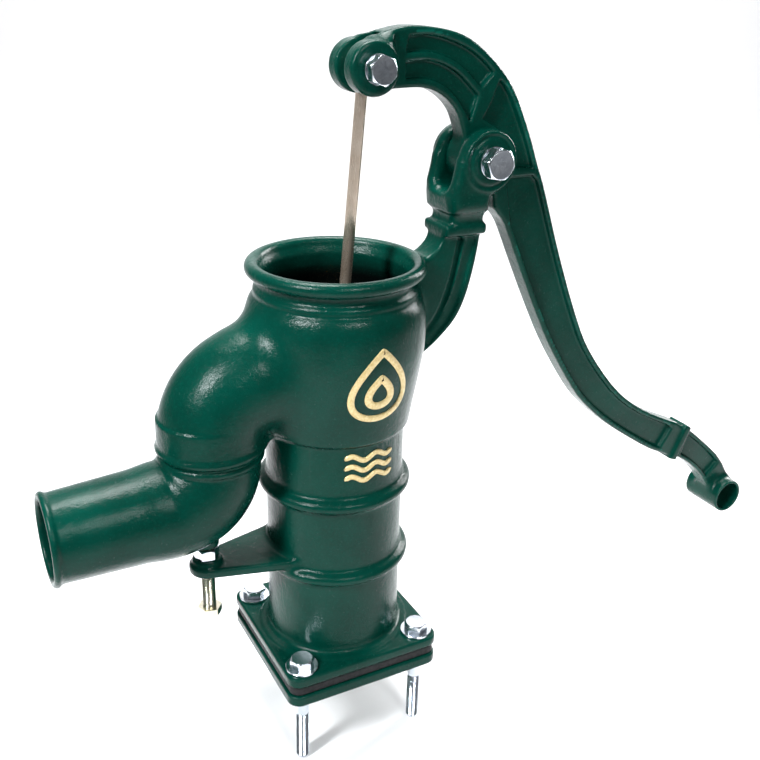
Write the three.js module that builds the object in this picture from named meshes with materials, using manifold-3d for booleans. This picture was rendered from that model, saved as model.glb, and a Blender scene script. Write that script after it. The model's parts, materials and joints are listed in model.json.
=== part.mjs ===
// Hand well pump: a pitcher pump with an integral handle post, a swivelling spout and a square base.
// Lengths are millimetres. +Z runs up the barrel, +X points to the handle and -X to the spout.
// The origin is the centre of the underside of the base flange.

import * as THREE from 'three';
import { mergeVertices } from 'three/addons/utils/BufferGeometryUtils.js';
import Module from 'manifold-3d';

const wasm = await Module();
wasm.setup();

// Clearance between pieces that touch.
const GAP = 0.3;

// Square flanges and the gasket between them.
const FLANGE_SIDE = 150;
const FLANGE_CORNER = 12;
const BASE_TOP = 10.6;
const GASKET_TOP = 20;
const FLANGE_BOTTOM = GASKET_TOP + GAP;
const FLANGE_TOP = 30.3;
const BOLT_OFFSET = 58.4;
const BOLT_HOLE = 6.8;

// M12 bolts and nuts.
const M12_RADIUS = 6;
const M12_FLATS = 19;
const M12_HEAD = 7.5;
const M12_NUT = 10;
const LONG_BOLT_TIP = -72;
const SHORT_BOLT_TIP = -8;
const WASHER_RADIUS = 14.6;
const WASHER_THICKNESS = 2.2;

// Barrel, bowl and rim.
const BORE = 52.5;
const BARREL = 61;
const BARREL_FOOT = 66;
const BAND_RADIUS = 68.2;
const LOWER_BAND_Z = 112;
const UPPER_BAND_Z = 185;
const BARREL_SPLIT = 148;
const BOWL_BOTTOM = 238;
const RIM_TOP = 385.5;

// Suction socket under the base, for a 32 mm pipe.
const SUCTION_BORE = 20;
const SUCTION_OUTER = 27;
const SUCTION_BOTTOM = -30;

// Outlet that turns down beside the bowl, and the joint below it.
const OUTLET = { bendX: -67, bendZ: 247, bendRadius: 46, outer: 44.5, wall: 8 };
const OUTLET_AXIS = OUTLET.bendX - OUTLET.bendRadius;
const OUTLET_BOTTOM = 237;
const SPIGOT_OUTER = 34;
const SPIGOT_TOP = 252;
const ELBOW_TOP = 233.4;

// Spout elbow: straight down, a bend, then out along -X, falling a little.
const SPOUT = {
  bendX: -158, bendZ: 232, bendRadius: 45, radius: 40.5, swell: 4, wall: 7,
  endX: -253, endZ: 183.5, endRadius: 37,
};

// Lug on the barrel, and the set bolt that pushes the spout up into its joint.
const LUG = {
  tipX: -122, tipRadius: 16, rootX: -52, rootHalf: 34, bottom: 117, top: 126, bossRadius: 13, bossTop: 130.5,
};
const SET_BOLT_TIP = 143;
const SET_BOLT_HEAD = 72;

// Pivots of the lever, as X and Z.
const FULCRUM = { x: 129.3, z: 459.4 };
const CLEVIS = { x: 22.5, z: 534.7 };
const GRIP_END = { x: 500, z: 45.7, outer: 19.5, bore: 16.3, half: 24 };
const FORK_FACE = 28;
const EAR_FACE = 22;
const M16_RADIUS = 8;
const M16_FLATS = 24;
const CLEVIS_PIN = 7;
const CLEVIS_FLATS = 21;
const SPRING_WASHER = 3.5;

// Handle post, and the fork on top of it.
const POST_HALF = 14;
const FORK_RADIUS = 26.5;
const FORK_SLOT = 11.4;
const FORK_SLOT_BOTTOM = 434.5;

// Lever section.
const LEVER_HALF = 10.5;
const LEVER_HUB = 22;
const LEVER_WEB = 4;
const LEVER_RIM = 6;
const EAR_RADIUS = 20.8;
const EAR_SLOT = 6.5;
const EAR_SLOT_DEPTH = 27;

// Piston at the top of its stroke, and the rod.
const ROD_RADIUS = 4.8;
const ROD_FOOT_Z = 250;
const PISTON_Z = 190;

const COLOURS = {
  enamel: [0x0b4a36, 0.3, 0.1],
  zinc: [0xb9c0c6, 0.3, 0.9],
  yellowZinc: [0xb5aa82, 0.3, 0.9],
  rubber: [0x17171a, 0.8, 0],
  steel: [0x8a7460, 0.25, 0.95],
  leather: [0x6d4a2c, 0.7, 0],
  brass: [0xb08d4a, 0.35, 0.9],
  castIron: [0x3a3d3c, 0.6, 0.6],
};

const pump = new THREE.Group();

function signedVolume(positions, index) {
  const corner = [new THREE.Vector3(), new THREE.Vector3(), new THREE.Vector3()];
  let volume = 0;
  for (let i = 0; i < index.length; i += 3) {
    corner.forEach((c, k) => c.fromArray(positions, 3 * index[i + k]));
    volume += corner[0].dot(corner[1].cross(corner[2])) / 6;
  }
  return volume;
}

// Turns a closed geometry into a manifold solid whose faces point out.
function solid(geometry) {
  geometry.deleteAttribute('normal');
  geometry.deleteAttribute('uv');
  const merged = mergeVertices(geometry, 1e-4);
  const positions = Float32Array.from(merged.attributes.position.array);
  const kept = [];
  const index = merged.index.array;
  for (let i = 0; i < index.length; i += 3) {
    const [a, b, c] = [index[i], index[i + 1], index[i + 2]];
    if (a !== b && b !== c && c !== a) kept.push(a, b, c);
  }
  if (signedVolume(positions, kept) < 0) kept.reverse();
  const mesh = new wasm.Mesh({ numProp: 3, vertProperties: positions, triVerts: Uint32Array.from(kept) });
  return new wasm.Manifold(mesh);
}

function addPiece(name, body, finish) {
  const mesh = body.getMesh();
  const geometry = new THREE.BufferGeometry();
  geometry.setAttribute('position', new THREE.BufferAttribute(Float32Array.from(mesh.vertProperties), 3));
  geometry.setIndex(new THREE.BufferAttribute(Uint32Array.from(mesh.triVerts), 1));
  geometry.computeVertexNormals();
  const [color, roughness, metalness] = COLOURS[finish];
  const piece = new THREE.Mesh(geometry, new THREE.MeshStandardMaterial({ color, roughness, metalness }));
  piece.name = name;
  pump.add(piece);
}

function unite(parts) {
  return parts.reduce((whole, part) => whole.add(part));
}

// Cylinder between two heights on a vertical axis.
function upright(radius, bottom, top, x = 0, y = 0, sides = 24) {
  const geometry = new THREE.CylinderGeometry(radius, radius, top - bottom, sides);
  geometry.rotateX(Math.PI / 2);
  geometry.translate(x, y, (top + bottom) / 2);
  return solid(geometry);
}

// Cylinder between two Y values on an axis across the pump.
function across(radius, x, z, from, to, sides = 24) {
  const geometry = new THREE.CylinderGeometry(radius, radius, to - from, sides);
  geometry.translate(x, (from + to) / 2, z);
  return solid(geometry);
}

function hexUpright(flats, bottom, top, x, y) {
  return upright(flats / Math.sqrt(3), bottom, top, x, y, 6);
}

function hexAcross(flats, x, z, from, to) {
  return across(flats / Math.sqrt(3), x, z, from, to, 6);
}

function block(min, max) {
  const size = max.map((value, i) => value - min[i]);
  const geometry = new THREE.BoxGeometry(...size);
  geometry.translate(...max.map((value, i) => (value + min[i]) / 2));
  return solid(geometry);
}

// Solid of revolution about the barrel axis from [radius, height] points.
function turned(profile, sides = 36) {
  const points = profile.map(([r, z]) => new THREE.Vector2(r, z));
  const geometry = new THREE.LatheGeometry(points, sides);
  geometry.rotateX(Math.PI / 2);
  return solid(geometry);
}

// Flat ring or short tube between two heights.
function ring(inner, outer, bottom, top, x = 0, y = 0, sides = 24) {
  return upright(outer, bottom, top, x, y, sides).subtract(upright(inner, bottom - 1, top + 1, x, y, sides));
}

// Plate with an outline in X and Z, between two Y values.
function plate(outline, from, to) {
  const shape = new THREE.Shape(outline.map(([x, z]) => new THREE.Vector2(x, z)));
  const geometry = new THREE.ExtrudeGeometry(shape, { depth: to - from, bevelEnabled: false });
  geometry.rotateX(Math.PI / 2);
  geometry.translate(0, to, 0);
  return solid(geometry);
}

function squarePlate(side, corner, bottom, top) {
  const half = side / 2;
  const shape = new THREE.Shape();
  shape.moveTo(-half + corner, -half);
  shape.lineTo(half - corner, -half);
  shape.absarc(half - corner, -half + corner, corner, -Math.PI / 2, 0);
  shape.absarc(half - corner, half - corner, corner, 0, Math.PI / 2);
  shape.absarc(-half + corner, half - corner, corner, Math.PI / 2, Math.PI);
  shape.absarc(-half + corner, -half + corner, corner, Math.PI, 1.5 * Math.PI);
  const geometry = new THREE.ExtrudeGeometry(shape, {
    depth: top - bottom,
    bevelEnabled: false,
    curveSegments: 3,
  });
  geometry.translate(0, 0, bottom);
  return solid(geometry);
}

// Tube-like solid through circles whose centres lie in the XZ plane.
// Each station is { x, z, angle, radius }; angle is the direction of travel.
function loft(stations, sides = 20) {
  const vertices = [];
  const faces = [];
  for (const { x, z, angle, radius } of stations) {
    for (let i = 0; i < sides; i += 1) {
      const turn = (2 * Math.PI * i) / sides;
      const offset = radius * Math.cos(turn);
      vertices.push(x - offset * Math.sin(angle), radius * Math.sin(turn), z + offset * Math.cos(angle));
    }
  }
  for (let s = 0; s < stations.length - 1; s += 1) {
    for (let i = 0; i < sides; i += 1) {
      const here = s * sides + i;
      const next = s * sides + ((i + 1) % sides);
      faces.push(here, next, next + sides, here, next + sides, here + sides);
    }
  }
  const last = (stations.length - 1) * sides;
  for (let i = 1; i < sides - 1; i += 1) {
    faces.push(0, i + 1, i);
    faces.push(last, last + i, last + i + 1);
  }
  const geometry = new THREE.BufferGeometry();
  geometry.setAttribute('position', new THREE.BufferAttribute(Float32Array.from(vertices), 3));
  geometry.setIndex(faces);
  return solid(geometry);
}

// Stations round a quarter bend, with a radius given by its fraction from 0 to 1.
function bendStations(bend, from, to, radiusAt, steps) {
  const stations = [];
  for (let i = 0; i <= steps; i += 1) {
    const fraction = i / steps;
    const phi = THREE.MathUtils.degToRad(from + (to - from) * fraction);
    const x = bend.bendX + bend.bendRadius * Math.cos(phi);
    const z = bend.bendZ + bend.bendRadius * Math.sin(phi);
    stations.push({ x, z, angle: phi + (Math.sign(to - from) * Math.PI) / 2, radius: radiusAt(fraction) });
  }
  return stations;
}

function spline(points, count) {
  const curve = new THREE.SplineCurve(points.map(([x, z]) => new THREE.Vector2(x, z)));
  return curve.getSpacedPoints(count).map((p) => [p.x, p.y]);
}

// Moves each point of a line sideways, to the left of its direction of travel.
function shifted(line, distance) {
  return line.map(([x, z], i) => {
    const before = line[Math.max(i - 1, 0)];
    const after = line[Math.min(i + 1, line.length - 1)];
    const dx = after[0] - before[0];
    const dz = after[1] - before[1];
    const length = Math.hypot(dx, dz);
    return [x - (distance * dz) / length, z + (distance * dx) / length];
  });
}

function bothSides(outline, inner, outer) {
  return plate(outline, inner, outer).add(plate(outline, -outer, -inner));
}

const corners = [[-1, -1], [1, -1], [1, 1], [-1, 1]].map(([i, j]) => [i * BOLT_OFFSET, j * BOLT_OFFSET]);

function boltHoles(bottom, top) {
  return unite(corners.map(([x, y]) => upright(BOLT_HOLE, bottom, top, x, y, 12)));
}

// ---- Pump casting, carried as seven nodes that meet at a small gap ----

function bandProfile(z) {
  const rise = [[0, -8], [3.5, -5], [6.4, -2.5], [7.2, 0], [6.4, 2.5], [3.5, 5], [0, 8]];
  return rise.map(([out, up]) => [BARREL + out, z + up]);
}

function lowerBarrelProfile() {
  return [
    [0, FLANGE_BOTTOM], [BARREL_FOOT, FLANGE_BOTTOM], [BARREL_FOOT, FLANGE_TOP], [62.5, 33], [61.3, 37],
    ...bandProfile(LOWER_BAND_Z),
    [BARREL, BARREL_SPLIT - GAP], [0, BARREL_SPLIT - GAP],
  ];
}

function upperBarrelProfile() {
  return [
    [0, BARREL_SPLIT], [BARREL, BARREL_SPLIT],
    ...bandProfile(UPPER_BAND_Z),
    [61.5, BOWL_BOTTOM - GAP], [0, BOWL_BOTTOM - GAP],
  ];
}

function bowlProfile() {
  return [
    [0, BOWL_BOTTOM], [61.5, BOWL_BOTTOM], [65.5, 243.6], [66.8, 252], [71.5, 280], [76, 308],
    [78, 327], [77, 341], [73.5, 352], [69.5, 358], [69.5, 362], [66, 364.5], [65.5, 369],
    [70, 371.5], [74, 375], [75.3, 379.5], [73.8, 384], [70, RIM_TOP], [0, RIM_TOP],
  ];
}

function bowlCavity() {
  return turned([
    [0, BOWL_BOTTOM - 1], [BORE, BOWL_BOTTOM - 1], [BORE, 240], [56.5, 246], [59, 256], [64, 282],
    [68.5, 308], [70.5, 327], [69, 341], [64, 352], [60, 361], [60.5, 372], [62.5, 381],
    [65.5, RIM_TOP], [67, RIM_TOP + 2], [0, RIM_TOP + 2],
  ]);
}

// Solid that keeps other pieces a small gap away from a turned one.
function clearOf(profile) {
  return turned(profile.map(([r, z]) => [r > 0 ? r + GAP : 0, z]));
}

function outletShell() {
  const bend = bendStations(OUTLET, 90, 180, (t) => OUTLET.outer + 1 - t, 7);
  const root = { x: -35, z: bend[0].z - 2, angle: Math.PI, radius: 50 };
  const foot = { x: OUTLET_AXIS, z: OUTLET_BOTTOM, angle: -Math.PI / 2, radius: OUTLET.outer };
  return loft([root, ...bend, foot]);
}

function outletPassage() {
  const bend = bendStations(OUTLET, 90, 180, () => OUTLET.outer - OUTLET.wall, 6);
  const root = { x: -30, z: bend[0].z, angle: Math.PI, radius: 38 };
  const foot = { x: OUTLET_AXIS, z: OUTLET_BOTTOM - 1, angle: -Math.PI / 2, radius: SPIGOT_OUTER + 1 };
  return loft([root, ...bend, foot]);
}

function lug() {
  const shape = new THREE.Shape();
  const lean = 0.26;
  shape.moveTo(LUG.rootX + 10, -LUG.rootHalf);
  shape.lineTo(LUG.rootX, -LUG.rootHalf);
  shape.absarc(LUG.tipX, 0, LUG.tipRadius, 1.5 * Math.PI - lean, Math.PI / 2 + lean, true);
  shape.lineTo(LUG.rootX, LUG.rootHalf);
  shape.lineTo(LUG.rootX + 10, LUG.rootHalf);
  const depth = LUG.top - LUG.bottom;
  const geometry = new THREE.ExtrudeGeometry(shape, { depth, bevelEnabled: false, curveSegments: 6 });
  geometry.translate(0, 0, LUG.bottom);
  const boss = upright(LUG.bossRadius, LUG.top - 1, LUG.bossTop, LUG.tipX, 0, 16);
  const hole = upright(M12_RADIUS + GAP, LUG.bottom - 1, LUG.bossTop + 1, LUG.tipX, 0, 12);
  return solid(geometry).add(boss).subtract(hole);
}

function post() {
  const outer = spline([
    [70, 288], [95, 303], [112, 319], [121, 337], [126, 358], [130, 381], [133, 400],
  ], 14);
  const inner = spline([[95, 402], [93, 391], [86, 383], [70, 380]], 6);
  return plate([...outer, ...inner], -POST_HALF, POST_HALF);
}

function earOutline() {
  const arc = [];
  for (let degrees = -60; degrees <= 168; degrees += 19) {
    const phi = THREE.MathUtils.degToRad(degrees);
    arc.push([FULCRUM.x + FORK_RADIUS * Math.cos(phi), FULCRUM.z + FORK_RADIUS * Math.sin(phi)]);
  }
  return [[100, 424], [132, 424], [134, 431], ...arc, [99.5, 448], [98, 438]];
}

function fork() {
  const { x, z } = FULCRUM;
  const band = block([94, -20, 397], [134.5, 20, 406]);
  const neck = plate([[96, 396], [133, 396], [132, 428], [98.5, 428], [101, 415]], -19, 19);
  const ears = plate(earOutline(), -FORK_FACE + 2, FORK_FACE - 2);
  const rings = across(24.5, x, z, -FORK_FACE, FORK_FACE);
  const slot = block([70, -FORK_SLOT, FORK_SLOT_BOTTOM], [190, FORK_SLOT, 520]);
  const bore = across(M16_RADIUS + GAP, x, z, -FORK_FACE - 5, FORK_FACE + 5);
  return unite([band, neck, ears, rings]).subtract(slot).subtract(bore);
}

function addPumpCasting() {
  const bore = upright(BORE, 0, BOWL_BOTTOM + 1, 0, 0, 36);
  const flange = squarePlate(FLANGE_SIDE, FLANGE_CORNER, FLANGE_BOTTOM, FLANGE_TOP)
    .subtract(upright(BARREL_FOOT + GAP, 0, 40, 0, 0, 36))
    .subtract(boltHoles(0, 40));
  const bowl = turned(bowlProfile()).subtract(bowlCavity()).subtract(outletPassage());
  const neck = outletShell().subtract(outletPassage()).subtract(clearOf(bowlProfile()));
  addPiece('pump_body', turned(lowerBarrelProfile()).subtract(bore), 'enamel');
  addPiece('upper_barrel', turned(upperBarrelProfile()).subtract(bore), 'enamel');
  addPiece('foot_flange', flange, 'enamel');
  addPiece('pump_bowl', bowl, 'enamel');
  addPiece('outlet_neck', neck, 'enamel');
  addPiece('handle_post', post().add(fork()).subtract(clearOf(bowlProfile())), 'enamel');
  addPiece('spout_lug', lug().subtract(clearOf(lowerBarrelProfile())), 'enamel');
}

// ---- Base flange, gasket and foot valve ----

const CLACK_PIN = { x: 33, z: 22 };

function baseFlange() {
  const body = unite([
    squarePlate(FLANGE_SIDE, FLANGE_CORNER, 0, BASE_TOP),
    upright(SUCTION_OUTER, SUCTION_BOTTOM, 1),
    upright(SUCTION_BORE + 5, BASE_TOP - 1, BASE_TOP + 3),
    block([CLACK_PIN.x - 4, 8, BASE_TOP - 1], [CLACK_PIN.x + 4, 13, CLACK_PIN.z + 4]),
    block([CLACK_PIN.x - 4, -13, BASE_TOP - 1], [CLACK_PIN.x + 4, -8, CLACK_PIN.z + 4]),
  ]);
  const pinHole = across(2 + GAP, CLACK_PIN.x, CLACK_PIN.z, -20, 20, 12);
  return body
    .subtract(upright(SUCTION_BORE, SUCTION_BOTTOM - 1, BASE_TOP + 5))
    .subtract(boltHoles(-1, BASE_TOP + 1))
    .subtract(pinHole);
}

function flangeGasket() {
  return squarePlate(FLANGE_SIDE - 4, FLANGE_CORNER - 2, BASE_TOP + GAP, GASKET_TOP)
    .subtract(upright(BORE + 0.5, 0, 30))
    .subtract(boltHoles(0, 30));
}

const CLACK_SEAT = BASE_TOP + 3 + GAP;

function footClack() {
  const disc = upright(24, CLACK_SEAT + 3 + GAP, CLACK_SEAT + 8);
  const weight = upright(15, CLACK_SEAT + 7, CLACK_SEAT + 15, -2);
  const arm = block([10, -6, CLACK_SEAT + 4], [CLACK_PIN.x, 6, CLACK_SEAT + 10]);
  const barrel = across(5, CLACK_PIN.x, CLACK_PIN.z, -7.5, 7.5, 16);
  const hole = upright(3 + GAP, CLACK_SEAT, CLACK_SEAT + 20, -2, 0, 12);
  const pinHole = across(2 + GAP, CLACK_PIN.x, CLACK_PIN.z, -20, 20, 12);
  return unite([disc, weight, arm, barrel]).subtract(hole).subtract(pinHole);
}

function addFootValve() {
  addPiece('foot_clack', footClack(), 'castIron');
  addPiece('foot_clack_leather', ring(3 + GAP, 25, CLACK_SEAT, CLACK_SEAT + 3, 0, 0, 28)
    .subtract(upright(4.5, 0, 30, -2, 0, 12)), 'leather');
  addPiece('foot_clack_screw', unite([
    upright(3, CLACK_SEAT + 1, CLACK_SEAT + 16, -2, 0, 12),
    upright(6, CLACK_SEAT + 15 + GAP, CLACK_SEAT + 18, -2, 0, 16),
  ]), 'brass');
  addPiece('foot_clack_pin', across(2, CLACK_PIN.x, CLACK_PIN.z, -14, 14, 12), 'brass');
}

// ---- Flange bolts: long in the two near corners, short in the two far ones ----

function addFlangeBolts() {
  corners.forEach(([x, y], i) => {
    const washerTop = FLANGE_TOP + GAP + WASHER_THICKNESS;
    const head = hexUpright(M12_FLATS, washerTop + GAP, washerTop + GAP + M12_HEAD, x, y);
    const tip = y < 0 ? LONG_BOLT_TIP : SHORT_BOLT_TIP;
    const shank = upright(M12_RADIUS, tip, washerTop + 1, x, y, 12);
    addPiece(`flange_bolt_${i + 1}`, head.add(shank), 'zinc');
    const washer = ring(M12_RADIUS + GAP, WASHER_RADIUS, FLANGE_TOP + GAP, washerTop, x, y, 16);
    addPiece(`flange_washer_${i + 1}`, washer, 'zinc');
  });
}

// ---- Spout ----

function elbowOuter() {
  const bend = bendStations(SPOUT, 0, -90, (t) => SPOUT.radius + SPOUT.swell * Math.sin(Math.PI * t), 8);
  const top = { x: OUTLET_AXIS, z: ELBOW_TOP - 0.5, angle: -Math.PI / 2, radius: SPOUT.radius };
  const end = { x: SPOUT.endX + 0.5, z: SPOUT.endZ, angle: Math.PI, radius: SPOUT.endRadius };
  return loft([top, ...bend, end]);
}

function elbowPassage() {
  const bend = bendStations(SPOUT, 0, -90, () => SPOUT.radius - SPOUT.wall, 6);
  const top = { x: OUTLET_AXIS, z: SPIGOT_TOP + 1, angle: -Math.PI / 2, radius: SPIGOT_OUTER - 5 };
  const neck = { x: OUTLET_AXIS, z: ELBOW_TOP, angle: -Math.PI / 2, radius: SPIGOT_OUTER - 5 };
  const end = { x: SPOUT.endX - 1, z: SPOUT.endZ, angle: Math.PI, radius: SPOUT.endRadius - SPOUT.wall + 1 };
  return loft([top, neck, ...bend, end]);
}

function spoutElbow() {
  const topBead = upright(44, ELBOW_TOP - 8, ELBOW_TOP, OUTLET_AXIS);
  const spigot = upright(SPIGOT_OUTER, ELBOW_TOP - 2, SPIGOT_TOP, OUTLET_AXIS);
  const endBead = loft([
    { x: SPOUT.endX + 9, z: SPOUT.endZ, angle: Math.PI, radius: 39.3 },
    { x: SPOUT.endX, z: SPOUT.endZ, angle: Math.PI, radius: 39.3 },
  ]);
  const pad = upright(11, SET_BOLT_TIP + GAP, 160, LUG.tipX, 0, 20);
  return unite([elbowOuter(), topBead, spigot, endBead, pad]).subtract(elbowPassage());
}

function addSpout() {
  addPiece('spout_elbow', spoutElbow(), 'enamel');
  const jointRing = ring(SPIGOT_OUTER + GAP, 42, ELBOW_TOP + GAP, OUTLET_BOTTOM - GAP, OUTLET_AXIS);
  addPiece('spout_gasket', jointRing, 'rubber');
  addPiece('spout_set_bolt', unite([
    hexUpright(M12_FLATS, SET_BOLT_HEAD, SET_BOLT_HEAD + M12_HEAD, LUG.tipX, 0),
    upright(M12_RADIUS, SET_BOLT_HEAD + 1, SET_BOLT_TIP, LUG.tipX, 0, 12),
  ]), 'yellowZinc');
  const nutBottom = LUG.bossTop + GAP;
  addPiece('spout_set_nut', hexUpright(M12_FLATS, nutBottom, nutBottom + M12_NUT, LUG.tipX, 0)
    .subtract(upright(M12_RADIUS + GAP, nutBottom - 1, nutBottom + M12_NUT + 1, LUG.tipX, 0, 12)), 'zinc');
}

// ---- Lever ----

const ARC_TOP = [
  [22.5, 555.5], [53, 564.5], [88, 562.5], [115, 554], [140, 536], [160, 514], [178, 480], [190, 452],
];
const ARM_OUTER = [
  [190, 452], [201, 427], [223, 370], [250, 308], [275, 262], [318, 211], [361, 179], [414, 153],
];
const NECK_OUTER = [[430, 143], [456, 123], [492, 91], [518, 52]];
const ARC_INNER = [[35, 518], [57, 518.5], [72, 518], [85, 514], [97, 506], [106, 495], [112, 479]];
const ARM_INNER = [
  [153, 409], [162, 397], [180, 360], [201, 318], [225, 274], [258, 225], [282, 198], [318, 168],
  [372, 132], [398, 119],
];
const NECK_INNER = [[414, 112], [434, 102], [463, 78], [484, 50]];

function leverOutline() {
  const outer = [...spline(ARC_TOP, 14), ...spline(ARM_OUTER, 14).slice(1), ...spline(NECK_OUTER, 5)];
  const armInner = [...spline(ARM_INNER, 14), ...spline(NECK_INNER, 5)];
  const heel = [[149, 414], [143, 434], [115, 445], [111, 462]];
  return [...outer, ...armInner.reverse(), ...heel, ...spline(ARC_INNER, 9).reverse()];
}

// Recesses either side that leave a web between an outer and an inner rim.
function recess(outer, inner) {
  const outline = [...shifted(outer, -LEVER_RIM), ...shifted(inner, LEVER_RIM).reverse()];
  return bothSides(outline, LEVER_WEB, LEVER_HALF + 5);
}

function handleLever() {
  const body = unite([
    plate(leverOutline(), -LEVER_HALF, LEVER_HALF),
    across(LEVER_HUB, FULCRUM.x, FULCRUM.z, -11, 11),
    across(EAR_RADIUS, CLEVIS.x, CLEVIS.z, -EAR_FACE, EAR_FACE),
    plate([[24, 514], [44, 519], [46, 556], [24, 555]], -17, 17),
    plate([[402, 113], [412, 110], [430, 147], [419, 155]], -14, 14),
  ]);
  const { x, z, outer, bore, half } = GRIP_END;
  const grip = across(outer, x, z, -half, half);
  const arcRecess = recess(spline(ARC_TOP.slice(1, 6), 9), spline(ARC_INNER.slice(1, 6), 9));
  const armRecess = recess(spline(ARM_OUTER, 12), spline(ARM_INNER.slice(2), 12));
  return body
    .subtract(arcRecess)
    .subtract(armRecess)
    .add(grip)
    .subtract(across(bore, x, z, -half - 1, half + 1))
    .subtract(across(M16_RADIUS + GAP, FULCRUM.x, FULCRUM.z, -30, 30))
    .subtract(across(CLEVIS_PIN + GAP, CLEVIS.x, CLEVIS.z, -30, 30))
    .subtract(across(EAR_SLOT_DEPTH, CLEVIS.x, CLEVIS.z, -EAR_SLOT, EAR_SLOT));
}

// Cross bolt with its head at the front, a spring washer under the head and a nut behind.
function addPivotBolt(name, pivot, radius, flats, face) {
  const washer = face + GAP + SPRING_WASHER;
  const headHeight = radius * 1.25;
  const nutHeight = radius * 1.6;
  const bolt = unite([
    hexAcross(flats, pivot.x, pivot.z, -washer - GAP - headHeight, -washer - GAP),
    across(radius, pivot.x, pivot.z, -washer - 1, face + nutHeight + 3, 16),
  ]);
  addPiece(`${name}_bolt`, bolt, 'zinc');
  const hole = across(radius + GAP, pivot.x, pivot.z, -60, 60, 16);
  const springWasher = across(radius * 1.65, pivot.x, pivot.z, -washer, -face - GAP, 16).subtract(hole);
  addPiece(`${name}_spring_washer`, springWasher, 'zinc');
  const nut = hexAcross(flats, pivot.x, pivot.z, face + GAP, face + GAP + nutHeight).subtract(hole);
  addPiece(`${name}_nut`, nut, 'zinc');
}

// ---- Rod and piston ----

// Rod pieces are made upright below the clevis pin, then tilted so the foot meets the barrel axis.
function tilted(part) {
  const degrees = THREE.MathUtils.radToDeg(Math.atan2(CLEVIS.x, CLEVIS.z - ROD_FOOT_Z));
  return part.translate([-CLEVIS.x, 0, -CLEVIS.z]).rotate([0, degrees, 0]).translate([CLEVIS.x, 0, CLEVIS.z]);
}

function addRod() {
  const { x, z } = CLEVIS;
  const foot = ROD_FOOT_Z;
  const eye = across(14, x, z, -5.8, 5.8, 20);
  const stem = upright(ROD_RADIUS, foot - 19, z - 10, x, 0, 12);
  const rod = eye.add(stem).subtract(across(CLEVIS_PIN + GAP, x, z, -20, 20, 16));
  addPiece('piston_rod', tilted(rod), 'steel');
  const nut = (bottom, height) => hexUpright(16, bottom, bottom + height, x, 0)
    .subtract(upright(ROD_RADIUS + GAP, bottom - 1, bottom + height + 1, x, 0, 12));
  addPiece('rod_collar_nut', tilted(nut(foot + 7.5, 6)), 'brass');
  addPiece('rod_foot_nut', tilted(nut(foot - 14.5, 7)), 'brass');
}

function addPiston() {
  const seatTop = PISTON_Z + 10;
  const cupTop = seatTop + 6;
  const barHalf = 33;
  const stirrup = unite([
    ring(27, 44, cupTop + GAP, cupTop + 6),
    block([-barHalf, -9, ROD_FOOT_Z - 4], [barHalf, 9, ROD_FOOT_Z + 4]),
    block([-barHalf, -9, cupTop + 3], [-barHalf + 6, 9, ROD_FOOT_Z]),
    block([barHalf - 6, -9, cupTop + 3], [barHalf, 9, ROD_FOOT_Z]),
  ]).subtract(block([-18, -5.3, ROD_FOOT_Z - 10], [18, 5.3, ROD_FOOT_Z + 10]));
  addPiece('piston_stirrup', stirrup, 'brass');
  const cup = ring(27, BORE - GAP, seatTop + GAP, cupTop, 0, 0, 32)
    .add(ring(46.5, BORE - GAP, cupTop - 1, cupTop + 15, 0, 0, 32));
  addPiece('piston_cup_leather', cup, 'leather');
  const seat = unite([upright(46, PISTON_Z, seatTop), upright(26.5, seatTop - 1, cupTop + 6)])
    .subtract(upright(17, PISTON_Z - 1, cupTop + 8));
  addPiece('piston_seat', seat, 'brass');
  const valveBottom = cupTop + 6 + GAP;
  addPiece('piston_valve_disc', ring(4, 24, valveBottom, valveBottom + 3), 'rubber');
  addPiece('piston_valve_weight', unite([
    upright(16, valveBottom + 3 + GAP, valveBottom + 8),
    upright(3.6, valveBottom - 12, valveBottom + 5, 0, 0, 16),
  ]), 'brass');
}

addPumpCasting();
addPiece('base_flange', baseFlange(), 'enamel');
addPiece('flange_gasket', flangeGasket(), 'rubber');
addFootValve();
addFlangeBolts();
addSpout();
addPiece('handle_lever', handleLever(), 'enamel');
addPivotBolt('fulcrum', FULCRUM, M16_RADIUS, M16_FLATS, FORK_FACE);
addPivotBolt('clevis', CLEVIS, CLEVIS_PIN, CLEVIS_FLATS, EAR_FACE);
addRod();
addPiston();

export default pump;
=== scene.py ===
# Looks of the hand well pump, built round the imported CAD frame. Shapes are worked out in millimetres.
import json
import math

import bpy
import numpy as np
from mathutils import Matrix, Vector


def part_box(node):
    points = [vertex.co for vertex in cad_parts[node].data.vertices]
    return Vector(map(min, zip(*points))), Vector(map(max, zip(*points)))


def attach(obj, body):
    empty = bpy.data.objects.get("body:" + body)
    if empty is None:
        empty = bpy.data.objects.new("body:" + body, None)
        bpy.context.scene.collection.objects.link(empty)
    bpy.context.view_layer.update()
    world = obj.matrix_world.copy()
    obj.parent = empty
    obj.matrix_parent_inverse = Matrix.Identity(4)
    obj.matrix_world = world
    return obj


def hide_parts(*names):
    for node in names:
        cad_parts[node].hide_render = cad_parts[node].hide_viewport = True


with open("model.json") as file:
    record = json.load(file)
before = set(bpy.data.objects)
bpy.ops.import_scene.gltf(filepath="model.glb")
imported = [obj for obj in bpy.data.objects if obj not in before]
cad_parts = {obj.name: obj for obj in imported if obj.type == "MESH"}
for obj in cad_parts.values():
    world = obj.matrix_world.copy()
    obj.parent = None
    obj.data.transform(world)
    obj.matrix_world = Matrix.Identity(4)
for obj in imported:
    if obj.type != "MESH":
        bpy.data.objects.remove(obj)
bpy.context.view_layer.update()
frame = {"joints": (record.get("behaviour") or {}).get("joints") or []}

MM = 0.001

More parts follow.
